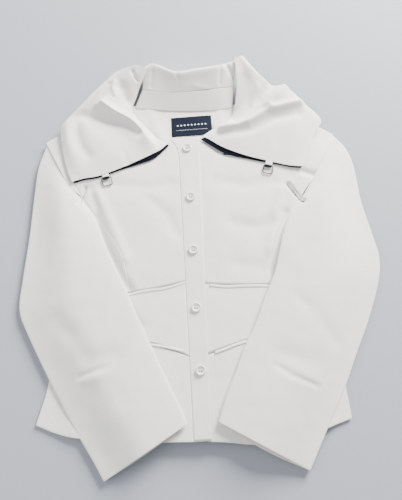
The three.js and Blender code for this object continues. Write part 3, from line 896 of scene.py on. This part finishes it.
class JACKET_OT_collar(bpy.types.Operator):
    """Adds the collar stand, the back of the collar and the two wings"""

    bl_idname = "jacket.collar"
    bl_label = "Collar"

    def execute(self, context):
        self.back()
        for side in (LEFT, RIGHT):
            self.wing(side)
        return {"FINISHED"}

    def back(self):
        """The stand and the standing back of the collar, rolled over behind."""
        neck = [(-87, 246.5, 6.6), (-68, 244, 7.4), (-35, 239, 7), (0, 235, 6.8), (44, 234, 6.8),
                (70, 235, 7.4), (83, 238, 6.6)]
        seam = [(-72, 275, 18.5), (-56, 270.5, 20.5), (-35, 266, 20.5), (-12, 264.6, 20.5),
                (20, 265, 21), (60, 268, 21), (88, 272, 18)]
        crest = [(-66, 307, 35), (-54, 311, 37), (-42, 307, 38), (-12, 292, 37.5),
                 (22, 295, 38), (60, 300.5, 37.5), (94, 312, 33)]
        mid = [tuple((np.array(a) * 0.45 + np.array(b) * 0.55)) for a, b in zip(seam, crest)]
        folds = [
            ([(-52, 300), (-56, 278)], -1.6, 3),
            ([(66, 302), (64, 276)], -1.4, 2.5),
            ([(76, 306), (90, 286)], -3.0, 4),
            ([(-12, 291), (-8, 283)], -0.9, 3),
            ([(20, 272), (44, 267)], 0.8, 4),
        ]
        stand = cloth("collar_stand_band", [neck, seam], 90, 20)
        laid(stand, ["collar_stand"])
        top = [(x, y + 0.4, z) for x, y, z in seam]
        behind = [(x, y + 7, z - 6) for x, y, z in crest]
        low = [(x, y + 10, 14) for x, y, z in crest]
        hem = [(x, y + 12, 3) for x, y, z in crest]
        rows = [top, mid, crest, behind, low, hem]
        piece = cloth("collar_back_panel", rows, 100, 60, lambda x, y: folds_height(x, y, folds))
        laid(piece, ["collar_back"])

    def wing(self, side):
        """One wing of the collar: the cloth that shows and the cloth under it."""
        name = SIDE_NAMES[side]
        rows = WING_ROWS[side]
        outer = cloth(f"collar_wing_{name}", rows, 170, 130, wing_relief(side))
        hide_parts(f"wing_upper_{name}", f"collar_fall_{name}")
        under_rows = [
            self.inset(row, peek, row is rows[-1], side)
            for row, peek in zip(rows[1:], UNDER_PEEK[side])
        ]
        relief = wing_relief(side)
        under_rows[0][-1] = UNDER_TIP[side]
        # the under cloth takes the near-black painted shade, so the strip of it below each wing's
        # lower edge stands for the shadow in that gap
        under = cloth(f"undercollar_{name}", under_rows, 110, 90, relief, 1.0, undercollar())
        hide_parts(f"wing_under_{name}")
        for piece, flat, area in ((outer, (0.26, 0.2), 0.0218), (under, (0.2, 0.18), 0.0162)):
            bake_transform(piece)

    def inset(self, row, peek, last, side):
        """A row of the wing moved down, showing by peek below the lower edge."""
        moved = [(x - side * 4 * last, y, z - 4.4) for x, y, z in row]
        x, y, z = moved[-1]
        moved[-1] = (x + side * 1.5, y - peek, 17.0)
        return moved


# Labels


class JACKET_OT_label(bpy.types.Operator):
    """Adds the woven neck label and the small tag beside it"""

    bl_idname = "jacket.label"
    bl_label = "Label"

    def execute(self, context):
        self.strip("woven_neck_label", (-25, 45), (186, 224.5), 5.4, navy_satin(), "neck_label", 0.5)
        self.figures()
        self.strip("small_neck_tag", (46.5, 55), (198, 207), 5.6, white_satin(), "size_tag", 0.5)
        return {"FINISHED"}

    def figures(self):
        """Rows of small woven lozenges and a fine line, as a plain pattern."""
        bm = bmesh.new()
        for x in np.linspace(-14, 34, 9):
            seat = Matrix.Translation((x, 207 + 0.02 * (x - 10), 6.1 + 0.4 * math.sin(x / 14)))
            bmesh.ops.create_circle(bm, cap_ends=True, segments=4, radius=1.9, matrix=seat)
        for x in np.linspace(-16, 36, 27):
            seat = Matrix.Translation((x, 197.5 + 0.02 * (x - 10), 6.1 + 0.4 * math.sin(x / 14)))
            bmesh.ops.create_circle(bm, cap_ends=True, segments=4, radius=0.6, matrix=seat)
        pattern = finished(bm, "woven_label_pattern", white_satin())
        thickened(pattern, 0.2, rounded=False)
        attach(pattern, "torso")

    def strip(self, name, across, up, z, material, node, thickness):
        """A flat woven strip, a little curved."""
        rows = [
            [(x, y + 0.02 * (x - 10), z + 0.4 * math.sin(x / 14)) for x in np.linspace(*across, 5)]
            for y in np.linspace(*up, 3)
        ]
        piece = cloth(name, rows, 30, 16, None, thickness, material)
        laid(piece, [node])


# Sleeves


SLEEVES = {
    LEFT: {
        "outer": [(-236, 182), (-248, 141), (-252, 97), (-256, 20), (-262, -50), (-264, -100),
                  (-248, -140), (-216, -202), (-193, -243), (-170, -283), (-152, -312),
                  (-137, -338)],
        "inner": [(-173, 72), (-165, 62), (-150, 34), (-136, -5), (-119, -45), (-103, -82),
                  (-86, -124), (-68, -166), (-55, -197), (-41, -228), (-31, -250),
                  (-22, -273)],
        "elbow": ((-0.103, -0.070), (-0.918, -0.396)),
        "body_folds": [
            ([(-170, -203), (-152, -198), (-135, -192)], -1.8, 4),
            ([(-150, -182), (-122, -176)], -2.4, 14),
            ([(-160, -208), (-140, -204)], 1.2, 8),
            ([(-133, -194), (-116, -225), (-103, -246)], -1.2, 4),
            ([(-203, -119), (-182, -145), (-162, -171)], -1.8, 12),
            ([(-168, 94), (-172, 80), (-177, 64)], -4.0, 2.4),
        ],
        "cuff_drop": 2,
    },
    RIGHT: {
        "outer": [(249, 172), (268, 142), (275, 105), (276, 45), (283, -10), (287, -50),
                  (279, -88), (253, -146), (227, -193), (201, -241), (169, -292),
                  (138, -342)],
        "inner": [(182, 60), (172, 46), (155, 24), (143, 0), (131, -35), (120, -68),
                  (103, -102), (80, -150), (66, -173), (50, -207), (33, -241),
                  (20, -273)],
        "elbow": ((0.118, -0.070), (0.912, -0.410)),
        "body_folds": [
            ([(109, -206), (128, -220), (160, -235)], -1.8, 4),
            ([(120, -190), (160, -204)], -1.8, 14),
            ([(150, -110), (175, -140), (196, -176)], -1.2, 9),
            ([(160, 80), (169, 64), (180, 46)], -9.0, 2.4),
        ],
        "cuff_drop": 5,
    },
}
SLEEVE_TOPS = [12.6, 19.5, 22.6, 24.4, 25.2, 25.6, 25.6, 25.4, 25.2, 25, 24.6, 24]
SLEEVE_BOTTOMS = [3, 8, 12.5, 16, 16.2, 16.2, 16.2, 16.2, 16.2, 16, 16, 15.8]
ARMHOLE_BOW = [-6, -6, -3, 0, 0, 0, 0, 0, 0, 0, 0, 0]
AROUND, DOWN = 104, 220


def signed_power(value, power):
    """A power that keeps the sign."""
    return math.copysign(abs(value) ** power, value)


class JACKET_OT_sleeves(bpy.types.Operator):
    """Adds the two sleeves"""

    bl_idname = "jacket.sleeves"
    bl_label = "Sleeves"

    def execute(self, context):
        for side in (LEFT, RIGHT):
            self.sleeve(side, SLEEVES[side])
        return {"FINISHED"}

    def sleeve(self, side, cut):
        """One sleeve: a flattened tube from armhole to open cuff."""
        bm = bmesh.new()
        bmesh.ops.create_grid(bm, x_segments=AROUND, y_segments=DOWN, size=1)
        outer = along_path(cut["outer"], DOWN + 1)
        inner = along_path(cut["inner"], DOWN + 1)
        for vert in bm.verts:
            angle = math.pi * (vert.co.x + 1)
            down = round((vert.co.y + 1) / 2 * DOWN)
            vert.co = self.place(angle, down, outer[down], inner[down], cut)
        bmesh.ops.remove_doubles(bm, verts=bm.verts, dist=0.01)
        bmesh.ops.recalc_face_normals(bm, faces=bm.faces)
        if max(refreshed(bm), key=lambda face: face.calc_center_median().z).normal.z < 0:
            bmesh.ops.reverse_faces(bm, faces=bm.faces)
        name = SIDE_NAMES[side]
        piece = finished(bm, f"sleeve_tube_{name}", cotton_twill())
        thickened(piece, 1.4)
        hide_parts(f"sleeve_upper_{name}", f"sleeve_lower_{name}")
        (x, y), (ax, ay) = cut["elbow"]
        away = Vector((side * ay, -side * ax, 0)).normalized()
        if away.y > 0:
            away = -away
        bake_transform(piece)

    def place(self, angle, down, outer, inner, cut):
        """A point of the tube: its turn around the sleeve and its step down it."""
        share = 0.5 - 0.5 * signed_power(math.cos(angle), 0.75)
        lift = signed_power(math.sin(angle), 0.7)
        t = down / DOWN
        top, bottom, bow = (
            spline([np.array([v], float) for v in row], t)[0]
            for row in (SLEEVE_TOPS, SLEEVE_BOTTOMS, ARMHOLE_BOW)
        )
        x, y = inner + (outer - inner) * share
        y += bow * math.sin(math.pi * share)
        if lift < 0:
            y -= cut["cuff_drop"] * smooth_step(0.9, 1.0, t) * math.sin(math.pi * share)
        side_fall = smooth_step(0.45, 1.0, share)
        middle = (top + bottom) / 2 * (1 - side_fall) + 6.2 * side_fall
        half = (top - bottom) / 2 * (1 - 0.1 * side_fall)
        half = max(half * (1 - 0.25 * side_fall) + 1.0 * math.sin(math.pi * share), 3.2)
        z = middle + half * lift
        if lift > 0:
            z += folds_height(x, y, cut["body_folds"]) + rumple(x, y, 45.0, 0.8) * lift
        return (x, y, max(z, 0.6))


# Collar loops


LOOPS = {LEFT: ((-134, 106.5), 12.0), RIGHT: ((131, 112), -14.0)}


class JACKET_OT_loops(bpy.types.Operator):
    """Adds the cloth tabs, the metal crimps and the rings under the collar"""

    bl_idname = "jacket.loops"
    bl_label = "Loops"

    def execute(self, context):
        for side, (place, turn) in LOOPS.items():
            self.loop(side, Vector((*place, 0)), math.radians(turn))
        return {"FINISHED"}

    def loop(self, side, place, turn):
        """One hanging loop: tab, crimp and ring."""
        name = SIDE_NAMES[side]
        seat = Matrix.Translation(place) @ Matrix.Rotation(turn, 4, "Z")
        tab = self.block((11, 9, 1.8), (0, 6.5, 18.4), seat)
        tab_piece = finished(tab, f"cloth_tab_{name}", cotton_twill())
        self.join_body(tab_piece, f"loop_tab_{name}", f"wing_{name}", "jacket_cloth")
        crimp = self.block((11.5, 4.2, 4.0), (0, 0.6, 18.2), seat)
        crimp_piece = finished(crimp, f"metal_crimp_{name}", nickel())
        self.join_body(crimp_piece, f"loop_crimp_{name}", f"wing_{name}", "nickel_wire")
        ring = bmesh.new()
        radius = settings().wire / MM / 2
        wire(ring, self.ring_path(), radius, 12)
        bmesh.ops.transform(ring, matrix=seat, verts=ring.verts)
        ring_piece = finished(ring, f"wire_ring_{name}", nickel())
        self.join_body(ring_piece, f"loop_ring_{name}", f"ring_{name}", "nickel_wire")

    def block(self, size, middle, seat):
        """A block with well rounded edges."""
        bm = bmesh.new()
        bmesh.ops.create_cube(bm, size=1)
        bmesh.ops.scale(bm, vec=size, verts=bm.verts)
        bmesh.ops.bevel(
            bm, geom=bm.edges, offset=min(size) * 0.36, segments=4, profile=0.5,
            affect="EDGES", material=-1,
        )
        bmesh.ops.translate(bm, vec=middle, verts=bm.verts)
        bmesh.ops.transform(bm, matrix=seat, verts=bm.verts)
        return bm

    def ring_path(self):
        """The bent wire of a ring, from one end inside the crimp to the other."""
        corners = [(-3, 0.4), (-7.2, 0.2), (-7.6, -3), (-7.6, -10.5), (-5.4, -12.4), (0, -12.6),
                   (5.4, -12.4), (7.6, -10.5), (7.6, -3), (7.2, 0.2), (3, 0.4)]
        rise = 17.9
        return along_path([(x, y, rise - 0.1 * abs(y)) for x, y in corners], 60)

    def join_body(self, piece, node, body, slot):
        """Rides a piece on a body in place of its frame node."""
        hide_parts(node)
        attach(piece, body)


# Sidebar and running order


STEPS = (
    JACKET_OT_stage,
    JACKET_OT_back,
    JACKET_OT_fronts,
    JACKET_OT_closure,
    JACKET_OT_collar,
    JACKET_OT_label,
    JACKET_OT_sleeves,
    JACKET_OT_loops,
)


class JACKET_PT_panel(bpy.types.Panel):
    """Sizes of the jacket and one button for each step"""

    bl_idname = "JACKET_PT_panel"
    bl_label = "Fitted Jacket"
    bl_space_type = "VIEW_3D"
    bl_region_type = "UI"
    bl_category = "Jacket"

    def draw(self, context):
        for field in ("cloth", "button", "button_height", "wire", "key_light"):
            self.layout.prop(context.scene.jacket, field)
        for step in STEPS:
            self.layout.operator(step.bl_idname)


def register():
    """Registers the settings, the steps and the panel."""
    for item in (JacketSettings, *STEPS, JACKET_PT_panel):
        bpy.utils.register_class(item)
    bpy.types.Scene.jacket = bpy.props.PointerProperty(type=JacketSettings)


def unregister():
    """Takes away what register added."""
    del bpy.types.Scene.jacket
    for item in reversed((JacketSettings, *STEPS, JACKET_PT_panel)):
        bpy.utils.unregister_class(item)


def main():
    """Runs each step in order."""
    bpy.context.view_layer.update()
    register()
    for step in STEPS:
        group, action = step.bl_idname.split(".")
        getattr(getattr(bpy.ops, group), action)()
    bpy.context.view_layer.update()


if __name__ == "__main__":
    main()
